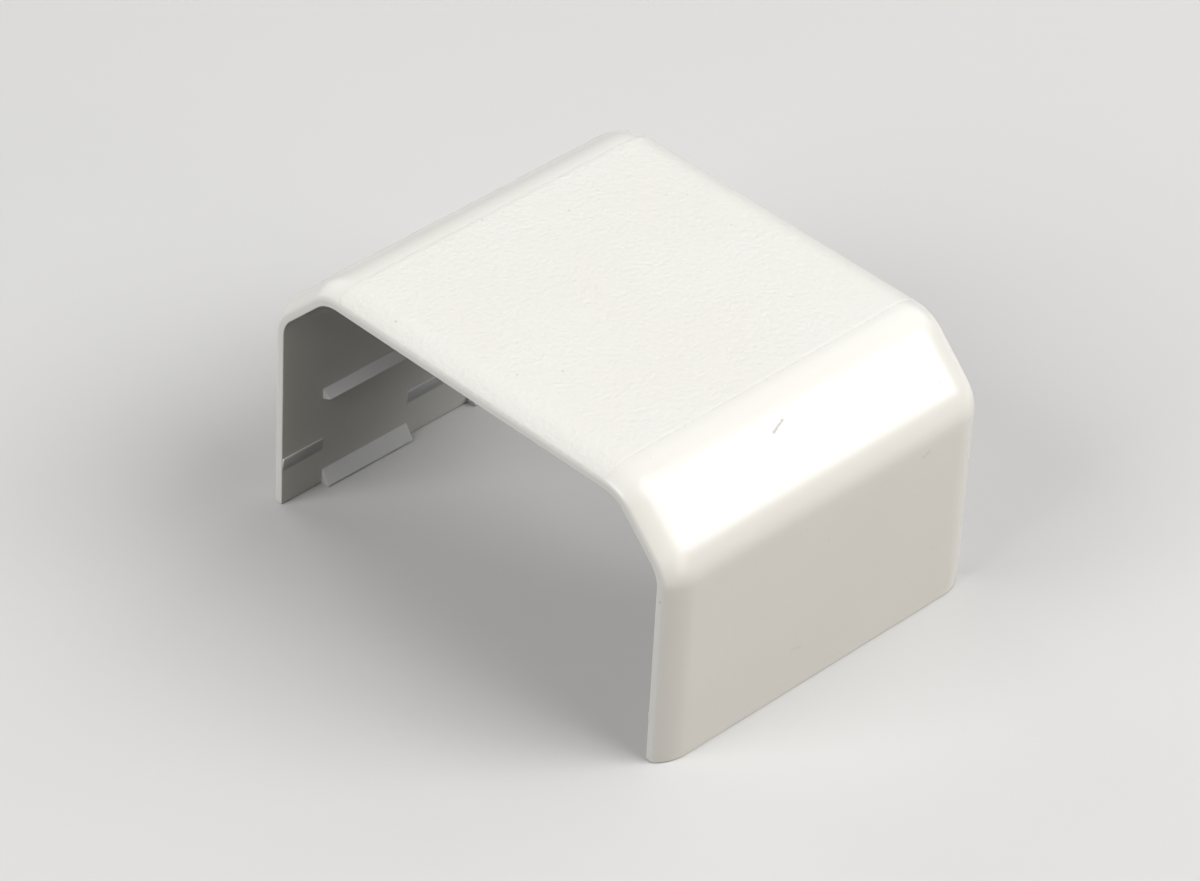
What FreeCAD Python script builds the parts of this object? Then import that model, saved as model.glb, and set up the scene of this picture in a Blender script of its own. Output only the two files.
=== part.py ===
import FreeCAD, Part
import math
import os

import Sketcher

# Raceway cover clip, one moulding, in millimetres.
# X runs across the raceway, Y along it and Z up. The origin is midway between the feet, on the
# surface that they stand on.

SIZES = [
    ("channel_width", 56.0, "inside width between the side walls"),
    ("channel_height", 30.6, "inside height, feet to underside of the top"),
    ("clip_length", 46.2, "length along the raceway, rim to rim"),
    ("wall_thick", 2.3, "wall away from the rims"),
    ("rim_thick", 0.98, "thickness that the taper leaves at a rim, before its round"),
    ("rim_run", 3.5, "length over which the wall thins to a rim"),
    ("rim_round", 0.7, "round on the outer edge of a rim"),
    ("shoulder_drop", 6.4, "height of a shoulder, inside"),
    ("shoulder_slope", 45.0, "slope of a shoulder, degrees"),
    ("crown_bend", 4.1, "inside bend, top to shoulder"),
    ("hip_bend", 3.6, "inside bend, shoulder to wall"),
    ("foot_round", 0.2, "round on the corners of the feet"),
    ("hook_inset", 5.9, "rim to the start of a hook and its rib"),
    ("hook_length", 12.5, "length of a hook and of its rib"),
    ("hook_rise", 1.9, "height of a hook on the wall"),
    ("hook_reach", 1.15, "how far a hook stands in from the wall"),
    ("hook_land", 0.25, "upright land at the tip of a hook"),
    ("rib_level", 11.5, "foot to the lower corner of a rib"),
    ("rib_height", 1.35, "height of a rib on the wall"),
    ("rib_nose", 0.5, "lower corner of a rib to its edge"),
    ("rib_reach", 1.15, "how far a rib stands in from the wall"),
    ("ledge_level", 6.2, "foot to the top of a barb ledge"),
    ("ledge_fall", 1.6, "height over which a ledge tapers to the wall"),
    ("ledge_reach", 0.18, "how far a ledge stands in from the wall"),
    ("root_depth", 0.5, "depth to which hooks, ribs and ledges are rooted in the wall"),
    ("tool_margin", 2.0, "how far the cutting shapes reach past the solid"),
]

START, END, CENTRE = 1, 2, 3
ORIGIN = (-1, 1)
ACROSS_AXIS = -1


def make_sheet(doc):
    sheet = doc.addObject("Spreadsheet::Sheet", "Sizes")
    for row, (alias, value, note) in enumerate(SIZES, start=1):
        sheet.set(f"A{row}", alias)
        sheet.set(f"B{row}", str(value))
        sheet.set(f"C{row}", note)
        sheet.setAlias(f"B{row}", alias)
    doc.recompute()
    return sheet


def value(sheet, alias):
    return float(sheet.get(alias))


def origin_plane(body, role):
    return next(item for item in body.Origin.OriginFeatures if item.Role == role)


def new_sketch(body, name, role):
    sketch = body.newObject("Sketcher::SketchObject", name)
    sketch.AttachmentSupport = [(origin_plane(body, role), "")]
    sketch.MapMode = "FlatFace"
    return sketch


def line(sketch, first, last):
    ends = [FreeCAD.Vector(x, y, 0) for x, y in (first, last)]
    return sketch.addGeometry(Part.LineSegment(*ends), False)


def arc(sketch, centre, radius, first_angle, last_angle):
    circle = Part.Circle(FreeCAD.Vector(*centre, 0), FreeCAD.Vector(0, 0, 1), radius)
    return sketch.addGeometry(Part.ArcOfCircle(circle, first_angle, last_angle), False)


def rule(sketch, kind, *where):
    return sketch.addConstraint(Sketcher.Constraint(kind, *where))


def size(sketch, name, formula, kind, *where):
    index = rule(sketch, kind, *where)
    sketch.renameConstraint(index, name)
    sketch.setExpression("Constraints." + name, formula)


def join(sketch, edges):
    for edge, following in zip(edges, edges[1:] + edges[:1]):
        rule(sketch, "Coincident", edge, END, following, START)


# The bent outline of the clip, as an offset from the inside of the channel: up the right wall,
# over its shoulder, across the top and down the left side
def bent_outline(sheet, sketch, offset_alias):
    offset = value(sheet, offset_alias) if offset_alias else 0.0
    added = f" + Sizes.{offset_alias}" if offset_alias else ""
    slope = math.radians(value(sheet, "shoulder_slope"))
    half = value(sheet, "channel_width") / 2 + offset
    top = value(sheet, "channel_height") + offset
    hip_radius = value(sheet, "hip_bend") + offset
    crown_radius = value(sheet, "crown_bend") + offset
    inner_hip_z = value(sheet, "channel_height") - value(sheet, "shoulder_drop")
    shoulder_distance = ((half - offset) * math.sin(slope) + inner_hip_z * math.cos(slope) + offset)
    hip_z = (shoulder_distance - half * math.sin(slope)) / math.cos(slope)
    crown_x = (shoulder_distance - top * math.cos(slope)) / math.sin(slope)
    hip_tangent = hip_radius * math.tan((math.pi / 2 - slope) / 2)
    crown_tangent = crown_radius * math.tan(slope / 2)
    across, along = math.cos(slope), math.sin(slope)

    foot = (half, 0.0)
    wall_end = (half, hip_z - hip_tangent)
    shoulder_start = (half - hip_tangent * across, hip_z + hip_tangent * along)
    shoulder_end = (crown_x + crown_tangent * across, top - crown_tangent * along)
    top_end = (crown_x - crown_tangent, top)

    def left(point):
        return (-point[0], point[1])

    turn = math.pi / 2 - slope
    hip_centre = (half - hip_radius, wall_end[1])
    crown_centre = (top_end[0], top - crown_radius)
    edges = [
        line(sketch, foot, wall_end),
        arc(sketch, hip_centre, hip_radius, 0.0, turn),
        line(sketch, shoulder_start, shoulder_end),
        arc(sketch, crown_centre, crown_radius, turn, math.pi / 2),
        line(sketch, top_end, left(top_end)),
        arc(sketch, left(crown_centre), crown_radius, math.pi / 2, math.pi - turn),
        line(sketch, left(shoulder_end), left(shoulder_start)),
        arc(sketch, left(hip_centre), hip_radius, math.pi - turn, math.pi),
        line(sketch, left(wall_end), left(foot)),
    ]
    wall, hip, shoulder, crown, roof, crown_left, shoulder_left, hip_left, wall_left = edges
    for edge, following in zip(edges, edges[1:]):
        rule(sketch, "Tangent", edge, END, following, START)
    for upright in (wall, wall_left):
        rule(sketch, "Vertical", upright)
    rule(sketch, "Horizontal", roof)
    rule(sketch, "PointOnObject", wall, START, ACROSS_AXIS)
    rule(sketch, "PointOnObject", wall_left, END, ACROSS_AXIS)
    half_width = "Sizes.channel_width / 2" + added
    size(sketch, "right_wall", half_width, "DistanceX", *ORIGIN, wall, START, half)
    size(sketch, "left_wall", half_width, "DistanceX", wall_left, END, *ORIGIN, half)
    size(sketch, "roof_height", "Sizes.channel_height" + added, "DistanceY", *ORIGIN, roof, START, top)
    away = ("Sizes.channel_width / 2 * sin(Sizes.shoulder_slope * 1 deg)"
            " + (Sizes.channel_height - Sizes.shoulder_drop) * cos(Sizes.shoulder_slope * 1 deg)"
            + added)
    size(sketch, "right_shoulder", away, "Distance", *ORIGIN, shoulder, shoulder_distance)
    size(sketch, "left_shoulder", away, "Distance", *ORIGIN, shoulder_left, shoulder_distance)
    size(sketch, "right_slope", "180 deg - Sizes.shoulder_slope * 1 deg",
         "Angle", shoulder, math.pi - slope)
    size(sketch, "left_slope", "180 deg + Sizes.shoulder_slope * 1 deg",
         "Angle", shoulder_left, math.pi + slope)
    for name, bend, radius, alias in (
            ("right_hip", hip, hip_radius, "hip_bend"),
            ("left_hip", hip_left, hip_radius, "hip_bend"),
            ("right_crown", crown, crown_radius, "crown_bend"),
            ("left_crown", crown_left, crown_radius, "crown_bend")):
        size(sketch, name, f"Sizes.{alias}" + added, "Radius", bend, radius)
    return foot, wall, wall_left


def closed_outline(body, sheet, name, offset_alias):
    sketch = new_sketch(body, name, "XZ_Plane")
    foot, wall, wall_left = bent_outline(sheet, sketch, offset_alias)
    sole = line(sketch, (-foot[0], 0.0), foot)
    rule(sketch, "Coincident", wall_left, END, sole, START)
    rule(sketch, "Coincident", sole, END, wall, START)
    return sketch


def open_outline(body, sheet, name, offset_alias):
    sketch = new_sketch(body, name, "XZ_Plane")
    bent_outline(sheet, sketch, offset_alias)
    return sketch


# The section of what is taken off near a rim, seen from above at the right foot: an arc that
# leaves the outside of the wall smoothly, and the small round on the edge of the rim
def rim_cutter(body, sheet):
    sketch = new_sketch(body, "rim_cutter", "XY_Plane")
    half = value(sheet, "channel_width") / 2 + value(sheet, "wall_thick")
    rim = -value(sheet, "clip_length") / 2
    run = value(sheet, "rim_run")
    drop = value(sheet, "wall_thick") - value(sheet, "rim_thick")
    edge_round = value(sheet, "rim_round")
    margin = value(sheet, "tool_margin")
    sweep_radius = (drop ** 2 + run ** 2) / (2 * drop)
    sweep_centre = (half - sweep_radius, rim + run)
    reach = math.sqrt((sweep_radius - edge_round) ** 2 - (run - edge_round) ** 2)
    round_centre = (sweep_centre[0] + reach, rim + edge_round)
    meeting = -math.atan2(run - edge_round, reach)

    outer_line = line(sketch, (half + margin, rim - margin), (half + margin, rim + run))
    upper_line = line(sketch, (half + margin, rim + run), (half, rim + run))
    sweep = arc(sketch, sweep_centre, sweep_radius, meeting, 0.0)
    small_round = arc(sketch, round_centre, edge_round, -math.pi / 2, meeting)
    inner_line = line(sketch, (round_centre[0], rim), (round_centre[0], rim - margin))
    lower_line = line(sketch, (round_centre[0], rim - margin), (half + margin, rim - margin))

    rule(sketch, "Coincident", outer_line, END, upper_line, START)
    rule(sketch, "Coincident", upper_line, END, sweep, END)
    rule(sketch, "Tangent", sweep, START, small_round, END)
    rule(sketch, "Coincident", small_round, START, inner_line, START)
    rule(sketch, "Coincident", inner_line, END, lower_line, START)
    rule(sketch, "Coincident", lower_line, END, outer_line, START)
    for upright in (outer_line, inner_line):
        rule(sketch, "Vertical", upright)
    for level in (upper_line, lower_line):
        rule(sketch, "Horizontal", level)
    rule(sketch, "Horizontal", sweep, CENTRE, sweep, END)
    rule(sketch, "Vertical", small_round, CENTRE, small_round, START)
    outside = "Sizes.channel_width / 2 + Sizes.wall_thick"
    size(sketch, "outside", outside, "DistanceX", *ORIGIN, sweep, END, half)
    size(sketch, "run_start", "Sizes.clip_length / 2 - Sizes.rim_run",
         "DistanceY", sweep, END, *ORIGIN, -rim - run)
    size(sketch, "rim_plane", "Sizes.clip_length / 2",
         "DistanceY", small_round, START, *ORIGIN, -rim)
    size(sketch, "sweep_radius",
         "((Sizes.wall_thick - Sizes.rim_thick)^2 + Sizes.rim_run^2)"
         " / (2 * (Sizes.wall_thick - Sizes.rim_thick))",
         "Radius", sweep, sweep_radius)
    size(sketch, "edge_round", "Sizes.rim_round", "Radius", small_round, edge_round)
    size(sketch, "clear_across", outside + " + Sizes.tool_margin",
         "DistanceX", *ORIGIN, outer_line, START, half + margin)
    size(sketch, "clear_along", "Sizes.clip_length / 2 + Sizes.tool_margin",
         "DistanceY", outer_line, START, *ORIGIN, -rim + margin)
    return sketch


# The corner taken off a foot, seen from the side, at the near rim
def foot_cutter(body, sheet):
    sketch = new_sketch(body, "foot_cutter", "YZ_Plane")
    rim = -value(sheet, "clip_length") / 2
    radius = value(sheet, "foot_round")
    margin = value(sheet, "tool_margin")
    corner = arc(sketch, (rim + radius, radius), radius, math.pi, 1.5 * math.pi)
    edges = [
        line(sketch, (rim + radius, 0.0), (rim + radius, -margin)),
        line(sketch, (rim + radius, -margin), (rim - margin, -margin)),
        line(sketch, (rim - margin, -margin), (rim - margin, radius)),
        line(sketch, (rim - margin, radius), (rim, radius)),
    ]
    join(sketch, [corner] + edges)
    for upright in (edges[0], edges[2]):
        rule(sketch, "Vertical", upright)
    for level in (edges[1], edges[3]):
        rule(sketch, "Horizontal", level)
    rule(sketch, "Vertical", corner, CENTRE, corner, END)
    rule(sketch, "Horizontal", corner, CENTRE, corner, START)
    rule(sketch, "PointOnObject", corner, END, ACROSS_AXIS)
    size(sketch, "corner_round", "Sizes.foot_round", "Radius", corner, radius)
    size(sketch, "rim_plane", "Sizes.clip_length / 2", "DistanceX", corner, START, *ORIGIN, -rim)
    size(sketch, "clear_along", "Sizes.clip_length / 2 + Sizes.tool_margin",
         "DistanceX", edges[1], END, *ORIGIN, -rim + margin)
    size(sketch, "clear_below", "Sizes.tool_margin", "DistanceY", edges[1], END, *ORIGIN, margin)
    return sketch


# A rail on the inside of the left wall. Each corner is how far it stands in from the wall and
# how high it is above the foot, both as a number and as a formula on the sheet
def rail_sketch(body, sheet, name, corners):
    sketch = new_sketch(body, name, "XZ_Plane")
    half = value(sheet, "channel_width") / 2
    points = [(reach - half, height) for reach, height, _, _ in corners]
    edges = [line(sketch, first, last) for first, last in zip(points, points[1:] + points[:1])]
    join(sketch, edges)
    for number, (edge, point, corner) in enumerate(zip(edges, points, corners), start=1):
        reach_formula, height_formula = corner[2:]
        size(sketch, f"reach_{number}", f"Sizes.channel_width / 2 - ({reach_formula})",
             "DistanceX", edge, START, *ORIGIN, -point[0])
        if point[1] == 0.0:
            rule(sketch, "PointOnObject", edge, START, ACROSS_AXIS)
        else:
            size(sketch, f"height_{number}", height_formula,
                 "DistanceY", *ORIGIN, edge, START, point[1])
    return sketch


def hook_corners(sheet):
    root = value(sheet, "root_depth")
    rise = value(sheet, "hook_rise")
    reach = value(sheet, "hook_reach")
    land = value(sheet, "hook_land")
    return [
        (-root, 0.0, "-Sizes.root_depth", "0"),
        (reach, 0.0, "Sizes.hook_reach", "0"),
        (reach, land, "Sizes.hook_reach", "Sizes.hook_land"),
        (0.0, rise, "0", "Sizes.hook_rise"),
        (-root, rise, "-Sizes.root_depth", "Sizes.hook_rise"),
    ]


def rib_corners(sheet):
    root = value(sheet, "root_depth")
    low = value(sheet, "rib_level")
    high = low + value(sheet, "rib_height")
    nose = low + value(sheet, "rib_nose")
    top = "Sizes.rib_level + Sizes.rib_height"
    return [
        (-root, low, "-Sizes.root_depth", "Sizes.rib_level"),
        (0.0, low, "0", "Sizes.rib_level"),
        (value(sheet, "rib_reach"), nose, "Sizes.rib_reach", "Sizes.rib_level + Sizes.rib_nose"),
        (0.0, high, "0", top),
        (-root, high, "-Sizes.root_depth", top),
    ]


def ledge_corners(sheet):
    root = value(sheet, "root_depth")
    high = value(sheet, "ledge_level")
    low = high - value(sheet, "ledge_fall")
    bottom = "Sizes.ledge_level - Sizes.ledge_fall"
    return [
        (-root, low, "-Sizes.root_depth", bottom),
        (0.0, low, "0", bottom),
        (value(sheet, "ledge_reach"), high, "Sizes.ledge_reach", "Sizes.ledge_level"),
        (-root, high, "-Sizes.root_depth", "Sizes.ledge_level"),
    ]


def pad(body, sketch, name, length_formula):
    feature = body.newObject("PartDesign::Pad", name)
    feature.Profile = sketch
    feature.SideType = "Symmetric"
    feature.setExpression("Length", length_formula)
    return feature


# The middle of each pad lies on its sketch, so a rail's sketch is moved along the raceway
def place_along(sketch, distance_formula):
    sketch.setExpression("AttachmentOffset.Base.z", distance_formula)


def mirror(body, name, feature, roles):
    if len(roles) == 1:
        copy = body.newObject("PartDesign::Mirrored", name)
        copy.Originals = [feature]
        copy.MirrorPlane = (origin_plane(body, roles[0]), [""])
    else:
        copy = body.newObject("PartDesign::MultiTransform", name)
        copy.Originals = [feature]
        steps = []
        for role in roles:
            step = body.newObject("PartDesign::Mirrored", f"{name}_{role[:2].lower()}")
            step.MirrorPlane = (origin_plane(body, role), [""])
            steps.append(step)
        copy.Transformations = steps
    body.Tip = copy
    return copy


def make_clip(doc, sheet):
    body = doc.addObject("PartDesign::Body", "cover_clip")
    body.Label = "cover_clip"

    block = closed_outline(body, sheet, "outer_section", "wall_thick")
    pad(body, block, "block", "Sizes.clip_length")

    spine = open_outline(body, sheet, "outer_path", "wall_thick")
    cutter = rim_cutter(body, sheet)
    doc.recompute()
    thinned = body.newObject("PartDesign::SubtractivePipe", "thinned_rim")
    thinned.Profile = cutter
    thinned.Spine = (spine, [""])
    doc.recompute()
    mirror(body, "thinned_rims", thinned, ["XZ_Plane"])

    channel = closed_outline(body, sheet, "channel_section", None)
    hollow = body.newObject("PartDesign::Pocket", "channel")
    hollow.Profile = channel
    hollow.Type = "ThroughAll"
    hollow.SideType = "Symmetric"
    doc.recompute()

    corner = body.newObject("PartDesign::Pocket", "foot_corner")
    corner.Profile = foot_cutter(body, sheet)
    corner.Type = "ThroughAll"
    corner.SideType = "Symmetric"
    doc.recompute()
    mirror(body, "foot_corners", corner, ["XZ_Plane"])

    middle = "Sizes.clip_length / 2 - Sizes.hook_inset - Sizes.hook_length / 2"
    for name, corners in (("hook", hook_corners(sheet)), ("rib", rib_corners(sheet))):
        sketch = rail_sketch(body, sheet, f"{name}_section", corners)
        place_along(sketch, middle)
        rail = pad(body, sketch, name, "Sizes.hook_length")
        doc.recompute()
        mirror(body, f"{name}s", rail, ["YZ_Plane", "XZ_Plane"])

    end_ledge = rail_sketch(body, sheet, "end_ledge_section", ledge_corners(sheet))
    place_along(end_ledge, "Sizes.clip_length / 2 - Sizes.hook_inset / 2")
    rail = pad(body, end_ledge, "end_ledge", "Sizes.hook_inset")
    doc.recompute()
    mirror(body, "end_ledges", rail, ["YZ_Plane", "XZ_Plane"])

    mid_ledge = rail_sketch(body, sheet, "mid_ledge_section", ledge_corners(sheet))
    between = "Sizes.clip_length - 2 * (Sizes.hook_inset + Sizes.hook_length)"
    rail = pad(body, mid_ledge, "mid_ledge", between)
    doc.recompute()
    mirror(body, "mid_ledges", rail, ["YZ_Plane"])
    doc.recompute()
    return body


def check(doc, bodies):
    for item in doc.Objects:
        if {"Invalid", "Error"} & set(item.State):
            raise RuntimeError(f"{item.Name} failed: {item.State}")
    for body in bodies:
        if body.Shape.isNull() or not body.Shape.isValid():
            raise RuntimeError(f"{body.Label} has no valid shape")
        if len(body.Shape.Solids) != 1:
            raise RuntimeError(f"{body.Label} has {len(body.Shape.Solids)} solids")


def report(body):
    box = body.Shape.BoundBox
    print(body.Label, f"{box.XLength:.2f} x {box.YLength:.2f} x {box.ZLength:.2f} mm,",
          f"{body.Shape.Volume:.1f} mm3, {len(body.Shape.Faces)} faces")


def main():
    doc = FreeCAD.newDocument("cover_clip")
    sheet = make_sheet(doc)
    bodies = [make_clip(doc, sheet)]
    check(doc, bodies)
    os.makedirs("parts", exist_ok=True)
    for body in bodies:
        report(body)
        body.Shape.exportStep(f"parts/{body.Label}.step")


main()
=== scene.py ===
import math
from types import SimpleNamespace

import bpy
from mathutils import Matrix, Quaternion, Vector


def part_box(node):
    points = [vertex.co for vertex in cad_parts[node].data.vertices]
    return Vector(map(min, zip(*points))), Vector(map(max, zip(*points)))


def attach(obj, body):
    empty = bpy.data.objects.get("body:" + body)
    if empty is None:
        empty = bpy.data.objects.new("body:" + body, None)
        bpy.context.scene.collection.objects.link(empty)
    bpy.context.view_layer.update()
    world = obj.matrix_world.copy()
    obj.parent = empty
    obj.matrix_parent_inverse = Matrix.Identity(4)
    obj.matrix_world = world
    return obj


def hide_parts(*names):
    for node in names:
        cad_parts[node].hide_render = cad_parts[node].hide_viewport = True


bl_info = {
    "name": "Raceway Cover Clip",
    "version": (1, 0, 0),
    "blender": (4, 5, 0),
    "location": "3D View > Sidebar > Cover Clip",
    "description": "Builds a moulded raceway cover clip and a plain studio stage for it",
    "category": "Object",
}

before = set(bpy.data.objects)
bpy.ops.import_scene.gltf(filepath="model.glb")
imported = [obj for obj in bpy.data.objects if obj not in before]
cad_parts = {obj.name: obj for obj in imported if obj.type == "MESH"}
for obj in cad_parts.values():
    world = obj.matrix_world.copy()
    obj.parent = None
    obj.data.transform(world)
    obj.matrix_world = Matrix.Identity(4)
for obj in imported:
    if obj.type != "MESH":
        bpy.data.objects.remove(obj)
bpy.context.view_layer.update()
CLIP_NODE = "cover_clip"
CLIP_LOW, CLIP_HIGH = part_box(CLIP_NODE)
PIECE = "clip_moulding"
BODY = "root"

PATH_CORNERS = 8
WALL_CORNERS = 6
RAIL_PLACES = 4


def mm(value):
    return value / 1000


# Levels nearer than this count as the same
SLACK = mm(0.01)
# The round of a foot's corner fades out over this many lengths of the rim's taper
FOOT_FADE = 3
# Faces across the round on the edges of the rails
RAIL_ROUND_FACES = 2
# Edges that turn by more than this stay sharp
SHARP_ANGLE = math.radians(40)
# Soles to the floor, so that no two faces share a plane
FLOOR_GAP = mm(0.01)

# The middle of a noise's values, and the stretch that most of them lie in
NOISE_MIDDLE = 0.5
NOISE_SPAN = (0.3, 0.7)
# Where noise turns from clean plastic to dust, and where it breaks up the shade painted into the
# step round the field
DUST_SPAN = (0.80, 0.85)
GROOVE_SHADE_SPAN = (0.35, 0.6)
# Share of a mark's half width that is dark all over
MARK_CORE = 0.15

# The Mix node has sockets for each kind of value, and these are its share and its two colours
MIX_INPUTS = (0, 6, 7)
MIX_OUTPUT = 2
# How the nodes of a tree are laid out
NODES_IN_ROW = 12
NODE_WIDTH, NODE_HEIGHT = 220, 260


def extent(name, description, metres):
    return bpy.props.FloatProperty(
        name=name, description=description, default=metres, min=0.0, unit="LENGTH", precision=5)


def length(name, description, millimetres):
    return extent(name, description, mm(millimetres))


def angle(name, description, degrees):
    return bpy.props.FloatProperty(
        name=name, description=description, default=math.radians(degrees), unit="ROTATION")


def number(name, description, default, unit="NONE"):
    return bpy.props.FloatProperty(
        name=name, description=description, default=default, min=0.0, unit=unit, precision=3)


def factor(name, description, default):
    return bpy.props.FloatProperty(
        name=name, description=description, default=default, min=0.0, max=1.0,
        subtype="FACTOR", precision=3)


def count(name, description, default):
    return bpy.props.IntProperty(name=name, description=description, default=default, min=1)


def colour(name, description, default):
    return bpy.props.FloatVectorProperty(
        name=name, description=description, default=default, size=3, min=0.0, max=1.0,
        subtype="COLOR")


class WallSizes(bpy.types.PropertyGroup):
    """Sizes of the bent wall, of the mesh on it and of the stippled field on its top"""
    width: extent("Width", "Width over the side walls", CLIP_HIGH.x - CLIP_LOW.x)
    height: extent("Height", "Height from the feet to the top face", CLIP_HIGH.z - CLIP_LOW.z)
    run: extent("Length", "Length along the raceway, rim to rim", CLIP_HIGH.y - CLIP_LOW.y)
    wall: length("Wall", "Thickness of the wall away from the rims", 2.3)
    rim: length("Rim", "Thickness that the taper leaves at a rim", 0.98)
    taper: length("Rim Taper", "Length over which the wall thins to a rim", 3.5)
    rim_round: length("Rim Round", "Round on the outer edge of a rim", 0.7)
    edge_round: length("Edge Round", "Round on the other edges", 0.12)
    foot_round: length("Foot Round", "Round on the corners of the feet", 0.2)
    drop: length("Shoulder Drop", "Height of a shoulder inside", 6.4)
    slope: angle("Shoulder Slope", "Slope of the shoulders", 45.0)
    crown_bend: length("Crown Bend", "Inside bend between top and shoulder", 4.1)
    hip_bend: length("Hip Bend", "Inside bend between shoulder and wall", 3.6)
    bend_steps: count("Bend Steps", "Facets of a bend", 12)
    edge_steps: count("Edge Steps", "Facets of the round on an inner edge of a rim", 3)
    rim_steps: count("Rim Steps", "Facets of the round on the outer edge of a rim", 8)
    taper_steps: count("Taper Steps", "Facets of the arc that leads down to a rim", 12)
    foot_steps: count("Foot Steps", "Rows of faces in the round of a foot", 4)
    coarse_step: length("Coarse Step", "Spacing of the mesh on the plain walls", 1.5)
    fine_step: length("Fine Step", "Spacing of the mesh on the stippled top", 0.24)
    field_side: length("Field Half Width", "Half the width of the stippled field", 19.95)
    field_end: length("Field End", "Rim to the end of the stippled field", 0.12)
    field_corner: length("Field Corner", "Corner radius of the stippled field", 0.8)
    field_rise: length("Field Rise", "How far the field stands above its surroundings", 0.03)
    field_edge: length("Field Edge", "Width of the step round the stippled field", 0.6)
    field_fade: length("Field Fade", "Drop from the top face at which that step has run out", 1.2)
    grain_pitch: length("Grain Pitch", "Spacing of the stipple that is modelled", 0.75)
    grain_depth: length("Grain Depth", "Height of the stipple that is modelled", 0.02)
    grain_detail: number("Grain Detail", "Finer waves in the stipple that is modelled", 1.0)
    grain_seed: count("Grain Seed", "Seed of the stipple", 7)


class RailSizes(bpy.types.PropertyGroup):
    """Sizes of the hooks, the ribs and the ledges on the inside of the walls"""
    inset: length("Hook Inset", "Rim to the start of a hook", 5.9)
    hook_run: length("Hook Length", "Length of a hook and of its rib", 12.5)
    hook_rise: length("Hook Rise", "Height of a hook on the wall", 1.9)
    hook_reach: length("Hook Reach", "How far a hook stands in from the wall", 1.15)
    hook_land: length("Hook Land", "Upright land at the tip of a hook", 0.25)
    rib_level: length("Rib Level", "Foot to the lower corner of a rib", 11.5)
    rib_height: length("Rib Height", "Height of a rib on the wall", 1.35)
    rib_nose: length("Rib Nose", "Lower corner of a rib to its edge", 0.5)
    rib_reach: length("Rib Reach", "How far a rib stands in from the wall", 1.15)
    ledge_level: length("Ledge Level", "Foot to the top of a barb ledge", 6.2)
    ledge_fall: length("Ledge Fall", "Height over which a ledge runs out", 1.6)
    ledge_reach: length("Ledge Reach", "How far a ledge stands in from the wall", 0.18)
    root: length("Root", "Depth to which the rails are rooted in the wall", 0.5)
    rail_round: length("Rail Round", "Round on the edges of the rails", 0.07)


class FinishSizes(bpy.types.PropertyGroup):
    """Colours, gloss, stipple and wear of the plastic, and the shade painted into the step round
    the field
    """
    plastic: colour("Plastic", "Colour of the moulded plastic", (0.82, 0.815, 0.765))
    deep: colour("Deep Plastic", "Colour of the plastic where it is darker", (0.805, 0.797, 0.74))
    # The dirt colour paints the real specks and scratches, and also the painted shade in the step
    # round the field
    dirt_and_shade: colour("Dirt", "Colour of the dirt in specks and scratches", (0.30, 0.29, 0.27))
    dirt_and_shade_share: factor("Dirt Share", "How far the dirt covers the plastic", 0.6)
    dirt_and_shade_rough: factor("Dirt Roughness", "How much rougher the dirt is than the plastic", 0.2)
    gloss: factor("Gloss Roughness", "Roughness of the smooth faces", 0.23)
    field_gloss: factor("Field Roughness", "Roughness of the stippled field", 0.48)
    smudge: factor("Smudge", "How much handling changes the roughness", 0.05)
    smudge_pitch: length("Smudge Pitch", "Spacing of the smudges", 14.0)
    stipple_pitch: length("Stipple Pitch", "Spacing of the fine stipple", 0.6)
    stipple_height: length("Stipple Height", "Height of the fine stipple", 0.14)
    step_height: length("Step Height", "Height of the sharp part of the step round the field", 0.03)
    step_edge: length("Step Edge", "Width of that sharp part", 0.45)
    peel_pitch: length("Peel Pitch", "Spacing of the faint waves in the smooth faces", 3.0)
    peel_height: length("Peel Height", "Height of those waves", 0.003)
    # Painted shade: a dark line in the step round the field, drawn in the dirt colour and broken up
    # with noise
    groove_shade: factor("Grime", "How dark the grime in the step round the field is", 0.22)
    groove_shade_reach: length("Grime Reach", "Half the width of that grime", 0.12)
    dust_pitch: length("Dust Pitch", "Spacing that the stray dust is sown at", 0.8)
    dust_strength: factor("Dust Strength", "How dark the stray dust is", 0.5)
    mark_waver: length("Mark Waver", "How far the outline of a mark strays", 0.12)
    waver_pitch: length("Waver Pitch", "Spacing of the waves in a mark's outline", 0.35)


class StageSizes(bpy.types.PropertyGroup):
    """The floor, the light and the camera"""
    floor: colour("Floor", "Colour of the floor as the camera sees it", (0.665, 0.665, 0.655))
    floor_bounce: colour("Floor Bounce", "Colour of the floor in bounced light", (0.06, 0.06, 0.06))
    floor_size: length("Floor Size", "Side of the floor", 4000.0)
    sky: colour("Sky", "Light of the room", (0.05, 0.05, 0.05))
    lamp_distance: length("Lamp Distance", "Softboxes to the clip", 1000.0)
    view_azimuth: angle("View Azimuth", "Direction that the camera looks from", 43.65)
    view_elevation: angle("View Elevation", "Height that the camera looks from", 37.70)
    view_roll: angle("View Roll", "Turn of the camera about its view", 3.12)
    view_distance: length("View Distance", "Camera to the point it looks at", 605.7)
    view_lens: number("Lens", "Focal length of the camera, in millimetres", 171.15, "CAMERA")


# The softboxes by name: watts, colour, side in millimetres, and the direction from the clip in
# degrees, first from +X towards +Y and then above the floor
SOFTBOXES = {
    "key": (2.2, (1.0, 0.995, 1.0), 450.0, 43.1, 33.1),
    "top": (6.4, (0.985, 0.985, 1.0), 700.0, 30.0, 50.0),
    "fill": (7.3, (1.0, 0.99, 1.0), 700.0, -100.0, 34.0),
    "left": (2.3, (1.0, 0.985, 0.98), 700.0, 180.0, 22.0),
    "low": (1.8, (1.0, 0.83, 0.66), 500.0, 5.0, 12.0),
    "back": (2.0, (1.0, 0.99, 1.0), 700.0, 90.0, 35.0),
}


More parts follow.
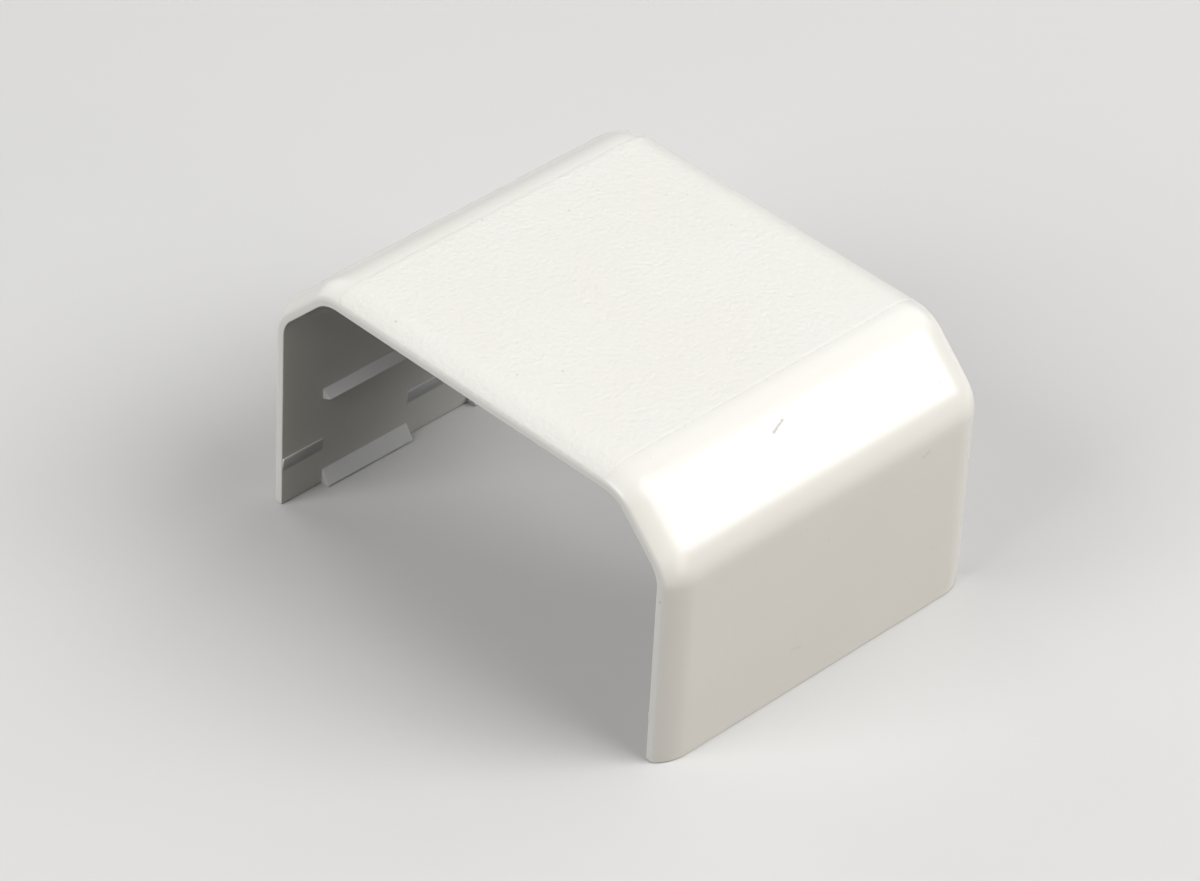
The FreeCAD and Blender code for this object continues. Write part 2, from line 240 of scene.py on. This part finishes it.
def softbox_settings(name, power, tint, side, azimuth, elevation):
    """The properties that the stage has for one softbox, by key"""
    title, lamp = name.title(), f"the {name} softbox"
    return {
        f"{name}_power": number(f"{title} Power", f"Power of {lamp}, in watts", power, "POWER"),
        f"{name}_colour": colour(f"{title} Colour", f"Colour of {lamp}", tint),
        f"{name}_size": length(f"{title} Size", f"Side of {lamp}", side),
        f"{name}_azimuth": angle(
            f"{title} Azimuth", f"Direction of {lamp} from +X towards +Y", azimuth),
        f"{name}_elevation": angle(
            f"{title} Elevation", f"Height of {lamp} above the floor", elevation),
    }


for name, settings in SOFTBOXES.items():
    StageSizes.__annotations__.update(softbox_settings(name, *settings))


# What the camera looks at, near the middle of the clip
VIEW_POINT = Vector((mm(-0.613), mm(-2.455), mm(14.249)))

# Small dark marks of use, in millimetres: where each starts and ends, its half width and how
# strong it is. A speck ends where it starts
MARKS = [
    ((-19.5, -2.6, 32.8), (-19.5, -2.6, 32.8), 0.22, 1.0),
    ((-14.7, 5.6, 32.9), (-14.7, 5.6, 32.9), 0.22, 0.8),
    ((-16.1, 10.4, 32.9), (-16.1, 10.4, 32.9), 0.18, 0.4),
    ((-12.6, -21.4, 32.6), (-12.6, -21.4, 32.6), 0.20, 0.9),
    ((2.6, -18.6, 32.9), (2.6, -18.6, 32.9), 0.20, 0.7),
    ((5.2, -14.7, 32.9), (5.2, -14.7, 32.9), 0.20, 0.7),
    ((-1.5, 16.8, 32.9), (-1.5, 16.8, 32.9), 0.20, 0.4),
    ((20.2, -4.6, 32.9), (20.2, -4.6, 32.9), 0.18, 0.4),
    ((23.8, 3.9, 31.7), (24.6, 4.2, 31.1), 0.30, 0.25),
    ((24.8, -3.6, 30.7), (24.3, -1.8, 31.1), 0.28, 1.05),
    ((26.3, 4.5, 29.1), (26.3, 4.5, 29.1), 0.20, 0.35),
    ((27.7, 18.4, 27.7), (27.7, 18.4, 27.7), 0.20, 0.8),
    ((30.3, 14.0, 21.6), (30.3, 14.9, 22.0), 0.20, 0.6),
    ((30.3, 13.0, 17.1), (30.3, 13.0, 17.1), 0.20, 0.7),
    ((30.3, 0.1, 18.0), (30.3, 0.1, 18.0), 0.20, 0.7),
    ((30.3, 16.7, 8.0), (30.3, 16.7, 8.0), 0.20, 0.6),
    ((30.3, -5.3, 11.7), (30.3, -5.3, 11.7), 0.20, 0.6),
    ((30.3, -4.3, 5.7), (30.3, -3.0, 5.4), 0.22, 0.5),
    ((28.6, -23.1, 21.2), (28.6, -23.1, 21.2), 0.25, 0.8),
    ((24.6, -23.1, 30.6), (24.6, -23.1, 30.6), 0.18, 0.5),
]


class Graph:
    """A node tree, wired by handing the output of one node to the next"""

    def __init__(self, tree):
        self.tree = tree

    def node(self, kind, *values, **settings):
        made = self.tree.nodes.new(kind)
        place = len(self.tree.nodes)
        row, column = divmod(place, NODES_IN_ROW)
        made.location = (NODE_WIDTH * column, -NODE_HEIGHT * row)
        for name, value in settings.items():
            setattr(made, name, value)
        for socket, value in zip([item for item in made.inputs if item.enabled], values):
            self.feed(socket, value)
        return made

    def named(self, kind, inputs, **settings):
        """A node whose inputs are given by name"""
        made = self.node(kind, **settings)
        for name, value in inputs.items():
            self.feed(made.inputs[name], value)
        return made

    def feed(self, socket, value):
        if isinstance(value, bpy.types.NodeSocket):
            self.tree.links.new(value, socket)
        elif value is not None:
            socket.default_value = value

    def out(self, kind, *values, **settings):
        made = self.node(kind, *values, **settings)
        return next(item for item in made.outputs if item.enabled)

    def math(self, operation, *values):
        return self.out("ShaderNodeMath", *values, operation=operation)

    def add(self, *values):
        return self.math("ADD", *values)

    def less(self, *values):
        return self.math("SUBTRACT", *values)

    def times(self, *values):
        return self.math("MULTIPLY", *values)

    def over(self, *values):
        return self.math("DIVIDE", *values)

    def vector(self, x=0.0, y=0.0, z=0.0):
        return self.out("ShaderNodeCombineXYZ", x, y, z)

    def vector_math(self, operation, *values):
        made = self.node("ShaderNodeVectorMath", *values, operation=operation)
        is_number = operation in {"DOT_PRODUCT", "DISTANCE", "LENGTH"}
        return made.outputs["Value" if is_number else "Vector"]

    def blend(self, share, first, second):
        """The first colour, covered by the second as far as the share says"""
        made = self.node("ShaderNodeMix", data_type="RGBA")
        for index, value in zip(MIX_INPUTS, (share, first, second)):
            self.feed(made.inputs[index], value)
        return made.outputs[MIX_OUTPUT]

    def noise(self, place, pitch, detail=0.0, roughness=0.5, output=0):
        inputs = {"Vector": place, "Scale": 1 / pitch, "Detail": detail, "Roughness": roughness}
        return self.named("ShaderNodeTexNoise", inputs, noise_dimensions="3D").outputs[output]

    def parts(self, vector):
        return self.node("ShaderNodeSeparateXYZ", vector).outputs

    def ramp(self, value, low, high, start=0.0, end=1.0, kind="LINEAR"):
        return self.out("ShaderNodeMapRange", value, low, high, start, end, interpolation_type=kind)

    def pick(self, index, *values):
        """The value that belongs to an index, counted from nought"""
        made = self.tree.nodes.new("GeometryNodeIndexSwitch")
        made.data_type = "FLOAT"
        while len(made.index_switch_items) < len(values):
            made.index_switch_items.new()
        self.feed(made.inputs[0], index)
        for socket, value in zip(made.inputs[1:], values):
            self.feed(socket, value)
        return made.outputs[0]

    def choose(self, test, otherwise, chosen):
        return self.out("GeometryNodeSwitch", test, otherwise, chosen, input_type="FLOAT")

    def compare(self, operation, first, second):
        return self.out("FunctionNodeCompare", first, second,
                        data_type="FLOAT", operation=operation)


SOCKET_KINDS = {"FLOAT": "NodeSocketFloat", "INT": "NodeSocketInt"}


def geometry_tree(name, sizes):
    """A tree with one named input for each size, and those inputs by key"""
    tree = bpy.data.node_groups.new(name, "GeometryNodeTree")
    for group, key in sizes:
        prop = group.bl_rna.properties[key]
        tree.interface.new_socket(name=prop.name, in_out="INPUT",
                                  socket_type=SOCKET_KINDS[prop.type])
    tree.interface.new_socket(name="Material", in_out="INPUT", socket_type="NodeSocketMaterial")
    tree.interface.new_socket(name="Geometry", in_out="OUTPUT", socket_type="NodeSocketGeometry")
    graph = Graph(tree)
    entry = tree.nodes.new("NodeGroupInput")
    names = [key for _, key in sizes] + ["material"]
    return graph, SimpleNamespace(**dict(zip(names, entry.outputs)))


def end_tree(graph, geometry, material):
    solid = graph.out("GeometryNodeRealizeInstances", geometry)
    finished = graph.out("GeometryNodeSetMaterial", solid, None, material)
    graph.node("NodeGroupOutput", finished)


def grow(name, tree, sizes, material):
    """An object that carries the tree, with the tree's inputs set from the sizes"""
    piece = bpy.data.objects.new(name, bpy.data.meshes.new(name))
    bpy.context.collection.objects.link(piece)
    modifier = piece.modifiers.new(tree.name, "NODES")
    modifier.node_group = tree
    values = [getattr(group, key) for group, key in sizes] + [material]
    sockets = [item for item in tree.interface.items_tree if item.in_out == "INPUT"]
    for socket, value in zip(sockets, values):
        modifier[socket.identifier] = value
    return piece


def bake(piece):
    """Turns what the modifiers make into the piece's own mesh"""
    graph = bpy.context.evaluated_depsgraph_get()
    mesh = bpy.data.meshes.new_from_object(piece.evaluated_get(graph))
    if not mesh.polygons:
        raise RuntimeError(f"{piece.name} came out empty")
    plain = piece.data
    piece.modifiers.clear()
    piece.data = mesh
    bpy.data.meshes.remove(plain)
    mesh.name = piece.name


def closed_section(graph, corner_count, across, up):
    """A closed outline through as many corners, each placed by its index"""
    points = graph.out("GeometryNodePoints", corner_count, graph.vector(across, up, 0.0))
    corners = graph.out("GeometryNodePointsToCurves", points)
    return graph.out("GeometryNodeSetSplineCyclic", corners, None, True)


def sweep(graph, path, section, sideways):
    """A solid along a path, with the section's first direction turned sideways"""
    held = graph.out("GeometryNodeSetCurveNormal", path, None, sideways, mode="FREE")
    return graph.out("GeometryNodeCurveToMesh", held, section, 1.0, True)


# The inside outline of the section, from the left foot over the top to the right foot. Its
# corners pair off from both feet, so each size is given by how far a corner is from its foot
def section_path(graph, size):
    index = graph.out("GeometryNodeInputIndex")
    last = PATH_CORNERS - 1
    fold = graph.math("MINIMUM", index, graph.less(last, index))
    side = graph.math("SIGN", graph.less(index, last / 2))
    half = graph.less(graph.times(size.width, 0.5), size.wall)
    roof = graph.less(size.height, size.wall)
    crown = graph.less(half, graph.over(size.drop, graph.math("TANGENT", size.slope)))
    across = graph.times(graph.pick(fold, half, half, half, crown), side)
    level = graph.pick(fold, 0.0, size.foot_round, graph.less(roof, size.drop), roof)
    bend = graph.pick(fold, 0.0, 0.0, size.hip_bend, size.crown_bend)
    points = graph.out("GeometryNodePoints", PATH_CORNERS, graph.vector(across, 0.0, level))
    corners = graph.out("GeometryNodePointsToCurves", points)
    bent = graph.out("GeometryNodeFilletCurve", corners, size.bend_steps, bend, True, mode="POLY")
    return cut_path(graph, size, bent, roof)


# Divides the stretches of the path: finely on the top and at the feet, coarsely elsewhere
def cut_path(graph, size, curve, roof):
    level = graph.parts(graph.out("GeometryNodeInputPosition"))[2]
    index = graph.out("GeometryNodeInputIndex")
    following = graph.out("GeometryNodeFieldAtIndex", level, graph.add(index, 1))
    highest = graph.math("MAXIMUM", level, following)
    lowest = graph.math("MINIMUM", level, following)
    on_top = graph.compare("GREATER_THAN", lowest, graph.less(roof, SLACK))
    at_foot = graph.compare("LESS_THAN", highest, graph.add(size.foot_round, SLACK))
    foot_step = graph.over(size.foot_round, size.foot_steps)
    step = graph.choose(at_foot, graph.choose(on_top, size.coarse_step, size.fine_step), foot_step)
    walked = graph.node("GeometryNodeSplineParameter").outputs["Length"]
    ahead = graph.out("GeometryNodeFieldAtIndex", walked, graph.add(index, 1))
    cuts = graph.less(graph.math("CEIL", graph.over(graph.less(ahead, walked), step)), 1)
    return graph.out("GeometryNodeSubdivideCurve", curve, graph.math("MAXIMUM", cuts, 0))


# The section of the wall from rim to rim. The outside falls to each rim along a wide arc that
# leaves the wall smoothly and meets the round of the rim smoothly. Both arcs are rounds of corners:
# one where the wall meets the line between the arcs, one where that line meets the rim's face
def wall_section(graph, size):
    index = graph.out("GeometryNodeInputIndex")
    end = graph.times(size.run, 0.5)
    fall = graph.less(size.wall, size.rim)
    squares = graph.add(graph.times(fall, fall), graph.times(size.taper, size.taper))
    arc = graph.over(squares, graph.times(fall, 2))
    apart = graph.less(arc, size.rim_round)
    turn = graph.math("ARCSINE", graph.over(graph.less(size.taper, size.rim_round), apart))
    tangent = graph.times(arc, graph.math("TANGENT", graph.times(turn, 0.5)))
    knee = graph.add(graph.less(end, size.taper), tangent)
    face = graph.add(graph.less(size.wall, arc), graph.times(apart, graph.math("COSINE", turn)))
    rest = graph.times(graph.less(math.pi / 2, turn), 0.5)
    corner = graph.add(face, graph.times(size.rim_round, graph.math("TANGENT", rest)))
    back = graph.times(end, -1)
    along = graph.pick(index, back, end, end, knee, graph.times(knee, -1), back)
    away = graph.pick(index, 0.0, 0.0, corner, size.wall, size.wall, corner)
    radius = graph.pick(index, size.edge_round, size.edge_round, size.rim_round, arc, arc,
                        size.rim_round)
    steps = graph.pick(index, size.edge_steps, size.edge_steps, size.rim_steps, size.taper_steps,
                       size.taper_steps, size.rim_steps)
    closed = closed_section(graph, WALL_CORNERS, along, away)
    rounded = graph.out("GeometryNodeFilletCurve", closed, steps, radius, True, mode="POLY")
    return cut_section(graph, size, rounded)


# Divides the long stretches of the wall's section: finely outside, where the stipple is, and
# coarsely inside
def cut_section(graph, size, curve):
    along, away = graph.parts(graph.out("GeometryNodeInputPosition"))[0:2]
    index = graph.out("GeometryNodeInputIndex")
    ahead = graph.out("GeometryNodeFieldAtIndex", along, graph.add(index, 1))
    reach = graph.math("ABSOLUTE", graph.less(ahead, along))
    long_stretch = graph.compare("GREATER_THAN", reach, size.taper)
    outside = graph.compare("GREATER_THAN", away, size.rim)
    step = graph.choose(outside, size.coarse_step, size.fine_step)
    cuts = graph.less(graph.math("CEIL", graph.over(reach, step)), 1)
    return graph.out("GeometryNodeSubdivideCurve", curve, graph.choose(long_stretch, 0.0, cuts))


# How far a place is outside a rectangle with rounded corners, less than nought inside it
def rounded_field(graph, x, y, half_width, half_run, corner):
    past_x = graph.less(graph.math("ABSOLUTE", x), graph.less(half_width, corner))
    past_y = graph.less(graph.math("ABSOLUTE", y), graph.less(half_run, corner))
    beyond = graph.vector(graph.math("MAXIMUM", past_x, 0), graph.math("MAXIMUM", past_y, 0))
    outside = graph.vector_math("LENGTH", beyond)
    inside = graph.math("MINIMUM", graph.math("MAXIMUM", past_x, past_y), 0)
    return graph.less(graph.add(outside, inside), corner)


# Rounds the corners of the feet, and takes the sharpness off the edges of their soles
def shape_feet(graph, size, shell):
    place = graph.out("GeometryNodeInputPosition")
    x, y, z = graph.parts(place)
    below = graph.math("MAXIMUM", graph.less(size.foot_round, z), 0)
    upright = graph.math("SQRT", graph.less(graph.times(size.foot_round, size.foot_round),
                                            graph.times(below, below)))
    end = graph.times(size.run, 0.5)
    fade_start = graph.less(end, graph.times(size.taper, FOOT_FADE))
    nearness = graph.ramp(graph.math("ABSOLUTE", y), fade_start, graph.less(end, size.taper))
    pull = graph.times(graph.times(graph.less(size.foot_round, upright), nearness),
                       graph.math("SIGN", y))
    rounded = graph.out("GeometryNodeSetPosition", shell, None, None,
                        graph.vector(0.0, graph.times(pull, -1), 0.0))
    normal = graph.parts(graph.out("GeometryNodeInputNormal"))
    outwards = graph.vector_math("NORMALIZE", graph.vector(normal[0], normal[1], 0.0))
    softness = graph.ramp(z, 0.0, size.edge_round, graph.times(size.edge_round, -1), 0.0)
    offset = graph.named("ShaderNodeVectorMath", {"Vector": outwards, "Scale": softness},
                         operation="SCALE")
    return graph.out("GeometryNodeSetPosition", rounded, None, None, offset.outputs["Vector"])


# Leaves the stippled field standing a little above the smooth surface round it, with its grain
def stipple_top(graph, size, shell):
    x, y, z = graph.parts(graph.out("GeometryNodeInputPosition"))
    lowest = graph.less(size.height, size.field_fade)
    on_top = graph.compare("GREATER_THAN", z, lowest)
    half_run = graph.less(graph.times(size.run, 0.5), size.field_end)
    outside = rounded_field(graph, x, y, size.field_side, half_run, size.field_corner)
    inside = graph.ramp(outside, 0.0, graph.times(size.field_edge, -1), kind="SMOOTHSTEP")
    inputs = {"W": size.grain_seed, "Scale": graph.over(1, size.grain_pitch),
              "Detail": size.grain_detail}
    noise = graph.named("ShaderNodeTexNoise", inputs, noise_dimensions="4D").outputs[0]
    grain = graph.times(graph.times(noise, size.grain_depth), inside)
    fade = graph.ramp(z, lowest, size.height, kind="SMOOTHSTEP")
    sunk = graph.times(graph.times(size.field_rise, fade), graph.less(1, inside))
    fall = graph.times(graph.add(grain, sunk), -1)
    return graph.out("GeometryNodeSetPosition", shell, on_top, None, graph.vector(0.0, 0.0, fall))


def wall_tree(sizes):
    graph, size = geometry_tree("Bent wall", sizes)
    path = section_path(graph, size)
    bent = sweep(graph, path, wall_section(graph, size), (0.0, 1.0, 0.0))
    shaped = shape_feet(graph, size, bent)
    stippled = stipple_top(graph, size, shaped)
    end_tree(graph, stippled, size.material)
    return graph.tree


class CLIP_OT_wall(bpy.types.Operator):
    """Bend the tapered wall round the section of the clip and stipple its top"""
    bl_idname = "cover_clip.wall"
    bl_label = "Build Wall"

    def execute(self, context):
        group = context.scene.clip_wall
        sizes = [(group, key) for key in WallSizes.__annotations__]
        piece = grow(PIECE, wall_tree(sizes), sizes, plastic_material(context.scene))
        bake(piece)
        return {"FINISHED"}


# A rail on the left wall. Each corner is how far it stands in from the wall and how high it is
def rail(graph, run, corners):
    index = graph.out("GeometryNodeInputIndex")
    inward, level = [graph.pick(index, *values) for values in zip(*corners)]
    half = graph.times(run, 0.5)
    path = graph.out("GeometryNodeCurvePrimitiveLine", graph.vector(0.0, half, 0.0),
                     graph.vector(0.0, graph.times(half, -1), 0.0))
    return sweep(graph, path, closed_section(graph, len(corners), inward, level), (1.0, 0.0, 0.0))


def hook(graph, size):
    root = graph.times(size.root, -1)
    return rail(graph, size.hook_run, [
        (root, 0.0),
        (size.hook_reach, 0.0),
        (size.hook_reach, size.hook_land),
        (0.0, size.hook_rise),
        (root, size.hook_rise),
    ])


def rib(graph, size):
    root = graph.times(size.root, -1)
    top = graph.add(size.rib_level, size.rib_height)
    return rail(graph, size.hook_run, [
        (root, size.rib_level),
        (0.0, size.rib_level),
        (size.rib_reach, graph.add(size.rib_level, size.rib_nose)),
        (0.0, top),
        (root, top),
    ])


def ledge(graph, size, run):
    root = graph.times(size.root, -1)
    bottom = graph.less(size.ledge_level, size.ledge_fall)
    return rail(graph, run, [
        (root, bottom),
        (0.0, bottom),
        (size.ledge_reach, size.ledge_level),
        (root, size.ledge_level),
    ])


# Sets copies of a rail against both walls, facing inwards, as far from the middle as given
def set_rails(graph, size, copy, from_middle, places):
    index = graph.out("GeometryNodeInputIndex")
    right = graph.math("MODULO", index, 2)
    side = graph.less(graph.times(right, 2), 1)
    end = graph.less(graph.times(graph.math("FLOOR", graph.over(index, 2)), 2), 1)
    half = graph.less(graph.times(size.width, 0.5), size.wall)
    points = graph.out("GeometryNodePoints", places, graph.vector(
        graph.times(side, half), graph.times(end, from_middle), 0.0))
    turn = graph.out("FunctionNodeEulerToRotation", graph.vector(0, 0, graph.times(right, math.pi)))
    inputs = {"Points": points, "Instance": copy, "Rotation": turn}
    return graph.named("GeometryNodeInstanceOnPoints", inputs).outputs[0]


def rail_tree(sizes):
    graph, size = geometry_tree("Wall rails", sizes)
    end = graph.times(size.run, 0.5)
    hook_middle = graph.less(graph.less(end, size.inset), graph.times(size.hook_run, 0.5))
    end_run = graph.less(size.inset, size.edge_round)
    end_middle = graph.less(end, graph.times(graph.add(size.inset, size.edge_round), 0.5))
    middle_run = graph.times(graph.less(hook_middle, graph.times(size.hook_run, 0.5)), 2)
    join = graph.node("GeometryNodeJoinGeometry")
    for copy, from_middle, places in (
            (hook(graph, size), hook_middle, RAIL_PLACES),
            (rib(graph, size), hook_middle, RAIL_PLACES),
            (ledge(graph, size, end_run), end_middle, RAIL_PLACES),
            (ledge(graph, size, middle_run), 0.0, RAIL_PLACES // 2)):
        graph.feed(join.inputs[0], set_rails(graph, size, copy, from_middle, places))
    end_tree(graph, join.outputs[0], size.material)
    return graph.tree


class CLIP_OT_rails(bpy.types.Operator):
    """Mould the latch hooks, the guide ribs and the barb ledges onto the inside of the walls"""
    bl_idname = "cover_clip.rails"
    bl_label = "Add Rails"

    def execute(self, context):
        wall, rails = context.scene.clip_wall, context.scene.clip_rails
        sizes = [(wall, key) for key in ("width", "run", "wall", "edge_round")]
        sizes += [(rails, key) for key in RailSizes.__annotations__ if key != "rail_round"]
        piece = bpy.data.objects[PIECE]
        added = grow("wall_rails", rail_tree(sizes), sizes, piece.data.materials[0])
        bevel = added.modifiers.new("Edge round", "BEVEL")
        bevel.width = rails.rail_round
        bevel.segments = RAIL_ROUND_FACES
        bevel.limit_method = "ANGLE"
        union = piece.modifiers.new("Rails", "BOOLEAN")
        union.operation = "UNION"
        union.solver = "MANIFOLD"
        union.object = added
        bake(piece)
        bpy.data.objects.remove(added)
        return {"FINISHED"}


def mark_group():
    """How far a place belongs to a speck, or to a scratch that runs between two points"""
    tree = bpy.data.node_groups.new("Surface mark", "ShaderNodeTree")
    for name, kind in (("Position", "Vector"), ("From", "Vector"), ("To", "Vector"),
                       ("Half Width", "Float"), ("Strength", "Float")):
        tree.interface.new_socket(name=name, in_out="INPUT", socket_type="NodeSocket" + kind)
    tree.interface.new_socket(name="Mask", in_out="OUTPUT", socket_type="NodeSocketFloat")
    graph = Graph(tree)
    place, start, end, half_width, strength = list(tree.nodes.new("NodeGroupInput").outputs)[:5]
    away = graph.vector_math("SUBTRACT", place, start)
    run = graph.vector_math("SUBTRACT", end, start)
    share = graph.over(graph.vector_math("DOT_PRODUCT", away, run),
                       graph.vector_math("DOT_PRODUCT", run, run))
    share = graph.math("MINIMUM", graph.math("MAXIMUM", share, 0), 1)
    nearest = graph.vector_math("ADD", start, graph.vector_math("MULTIPLY", run, share))
    distance = graph.vector_math("DISTANCE", place, nearest)
    core = graph.times(half_width, MARK_CORE)
    mask = graph.ramp(distance, half_width, core, kind="SMOOTHSTEP")
    graph.node("NodeGroupOutput", graph.times(mask, strength))
    return tree


# The marks of use, and a few stray grains of dust all over
def wear_mask(graph, finish, place):
    group = mark_group()
    stray = graph.vector_math("SUBTRACT", graph.noise(place, finish.waver_pitch, output=1),
                              (NOISE_MIDDLE,) * 3)
    reach = (2 * finish.mark_waver,) * 3
    wavering = graph.vector_math("ADD", place, graph.vector_math("MULTIPLY", stray, reach))
    dust = graph.noise(place, finish.dust_pitch, detail=1.0)
    mask = graph.ramp(dust, *DUST_SPAN, 0.0, finish.dust_strength)
    for start, end, half_width, strength in MARKS:
        mark = graph.tree.nodes.new("ShaderNodeGroup")
        mark.node_tree = group
        values = (wavering, [mm(value) for value in start], [mm(value) for value in end],
                  mm(half_width), strength)
        for socket, value in zip(mark.inputs, values):
            graph.feed(socket, value)
        mask = graph.math("MAXIMUM", mask, mark.outputs[0])
    return mask


# How far a place is on the stippled field, and how much painted shade lies along the step round the
# field, broken up with noise
def field_masks(graph, wall, finish, place):
    x, y, z = graph.parts(place)
    half_run = wall.run / 2 - wall.field_end
    outside = rounded_field(graph, x, y, wall.field_side, half_run, wall.field_corner)
    inside = graph.ramp(outside, 0.0, -finish.step_edge, kind="SMOOTHSTEP")
    on_top = graph.ramp(z, wall.height - 2 * wall.field_fade, wall.height - wall.field_fade)
    # Painted shade along the step round the field, broken up with noise
    groove = graph.ramp(graph.math("ABSOLUTE", outside), finish.groove_shade_reach, 0.0, kind="SMOOTHSTEP")
    broken = graph.ramp(graph.noise(place, finish.stipple_pitch), *GROOVE_SHADE_SPAN)
    groove_shade = graph.times(graph.times(groove, broken), finish.groove_shade)
    return graph.times(inside, on_top), graph.times(groove_shade, on_top)


def plastic_material(scene):
    wall, finish = scene.clip_wall, scene.clip_finish
    material = bpy.data.materials.new("Ivory moulded plastic")
    material.use_nodes = True
    graph = Graph(material.node_tree)
    shader = material.node_tree.nodes["Principled BSDF"]
    place = graph.node("ShaderNodeTexCoord").outputs["Object"]
    field, groove_shade = field_masks(graph, wall, finish, place)
    # The marks of use and the painted shade in the step share one mask, and so the dirt colour
    wear_and_shade = graph.math("MAXIMUM", wear_mask(graph, finish, place), groove_shade)

    cloud = graph.ramp(graph.noise(place, finish.smudge_pitch, detail=2.0), *NOISE_SPAN)
    plain = graph.blend(cloud, (*finish.plastic, 1.0), (*finish.deep, 1.0))
    cover = graph.times(wear_and_shade, finish.dirt_and_shade_share)
    graph.feed(shader.inputs["Base Color"], graph.blend(cover, plain, (*finish.dirt_and_shade, 1.0)))

    handling = graph.noise(place, finish.smudge_pitch / 2, detail=3.0, roughness=0.6)
    rough = graph.ramp(handling, *NOISE_SPAN, finish.gloss - finish.smudge / 2,
                       finish.gloss + finish.smudge / 2)
    rough = graph.add(rough, graph.times(field, finish.field_gloss - finish.gloss))
    rough = graph.add(rough, graph.times(wear_and_shade, finish.dirt_and_shade_rough))
    graph.feed(shader.inputs["Roughness"], rough)

    grain = graph.noise(place, finish.stipple_pitch, detail=2.0, roughness=0.6)
    stipple = graph.times(graph.less(grain, NOISE_MIDDLE), finish.stipple_height)
    raised = graph.times(graph.add(stipple, finish.step_height), field)
    waves = graph.times(graph.noise(place, finish.peel_pitch), finish.peel_height)
    inputs = {"Strength": 1.0, "Distance": 1.0, "Height": graph.add(raised, waves)}
    graph.feed(shader.inputs["Normal"], graph.named("ShaderNodeBump", inputs).outputs[0])
    return material


class CLIP_OT_finish(bpy.types.Operator):
    """Shade the clip, hide the imported part and hang the clip on its body"""
    bl_idname = "cover_clip.finish"
    bl_label = "Finish Clip"

    def execute(self, context):
        piece = bpy.data.objects[PIECE]
        piece.data.shade_smooth()
        piece.data.set_sharp_from_angle(angle=SHARP_ANGLE)
        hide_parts(CLIP_NODE)
        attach(piece, BODY)
        return {"FINISHED"}


def direction(azimuth, elevation):
    flat = math.cos(elevation)
    return Vector((math.cos(azimuth) * flat, math.sin(azimuth) * flat, math.sin(elevation)))


def floor_material(stage):
    material = bpy.data.materials.new("Pale floor")
    material.use_nodes = True
    material.node_tree.nodes.clear()
    graph = Graph(material.node_tree)
    path = graph.node("ShaderNodeLightPath").outputs
    seen = graph.math("MAXIMUM", path["Is Camera Ray"], path["Is Glossy Ray"])
    seen = graph.math("MAXIMUM", seen, path["Is Transmission Ray"])
    shown = graph.blend(seen, (*stage.floor_bounce, 1.0), (*stage.floor, 1.0))
    surface = graph.out("ShaderNodeBsdfDiffuse", shown)
    graph.node("ShaderNodeOutputMaterial", surface)
    return material


def lay_floor(context, stage):
    bpy.ops.mesh.primitive_plane_add(size=stage.floor_size, location=(0.0, 0.0, -FLOOR_GAP))
    floor = context.active_object
    floor.name = "studio_floor"
    floor.data.materials.append(floor_material(stage))


def set_lights(context, stage):
    world = context.scene.world or bpy.data.worlds.new("Studio")
    context.scene.world = world
    world.use_nodes = True
    world.node_tree.nodes["Background"].inputs["Color"].default_value = (*stage.sky, 1.0)
    for part in SOFTBOXES:
        power, tint, side, azimuth, elevation = [
            getattr(stage, f"{part}_{setting}")
            for setting in ("power", "colour", "size", "azimuth", "elevation")]
        lamp = bpy.data.lights.new(f"Softbox {part}", "AREA")
        lamp.shape = "SQUARE"
        lamp.size = side
        lamp.energy = power
        lamp.color = tint
        softbox = bpy.data.objects.new(lamp.name, lamp)
        towards = direction(azimuth, elevation)
        softbox.location = towards * stage.lamp_distance
        softbox.rotation_euler = towards.to_track_quat("Z", "Y").to_euler()
        context.collection.objects.link(softbox)


def set_camera(context, stage):
    lens = bpy.data.cameras.new("View")
    lens.lens = stage.view_lens
    camera = bpy.data.objects.new("View", lens)
    back = direction(stage.view_azimuth - math.pi / 2, stage.view_elevation)
    camera.location = VIEW_POINT + back * stage.view_distance
    level = (-back).to_track_quat("-Z", "Y")
    camera.rotation_mode = "QUATERNION"
    camera.rotation_quaternion = level @ Quaternion((0.0, 0.0, 1.0), stage.view_roll)
    context.collection.objects.link(camera)
    context.scene.camera = camera


class CLIP_OT_stage(bpy.types.Operator):
    """Lay the pale floor and set the softboxes, the room light and the camera"""
    bl_idname = "cover_clip.stage"
    bl_label = "Set Stage"

    def execute(self, context):
        stage = context.scene.clip_stage
        lay_floor(context, stage)
        set_lights(context, stage)
        set_camera(context, stage)
        context.scene.view_settings.view_transform = "Standard"
        return {"FINISHED"}


class CLIP_PT_panel(bpy.types.Panel):
    """The steps that build the clip, in order"""
    bl_idname = "CLIP_PT_panel"
    bl_label = "Cover Clip"
    bl_space_type = "VIEW_3D"
    bl_region_type = "UI"
    bl_category = "Cover Clip"

    def draw(self, context):
        for step in STEPS:
            self.layout.operator(step.bl_idname)


STEPS = (CLIP_OT_wall, CLIP_OT_rails, CLIP_OT_finish, CLIP_OT_stage)
SETTINGS = {"clip_wall": WallSizes, "clip_rails": RailSizes, "clip_finish": FinishSizes,
            "clip_stage": StageSizes}


def register():
    for kind in (*SETTINGS.values(), *STEPS, CLIP_PT_panel):
        bpy.utils.register_class(kind)
    for name, kind in SETTINGS.items():
        setattr(bpy.types.Scene, name, bpy.props.PointerProperty(type=kind))


def unregister():
    for name in SETTINGS:
        delattr(bpy.types.Scene, name)
    for kind in reversed((*SETTINGS.values(), *STEPS, CLIP_PT_panel)):
        bpy.utils.unregister_class(kind)


def main():
    register()
    bpy.ops.cover_clip.wall()
    bpy.ops.cover_clip.rails()
    bpy.ops.cover_clip.finish()
    bpy.ops.cover_clip.stage()


if __name__ == "__main__":
    main()
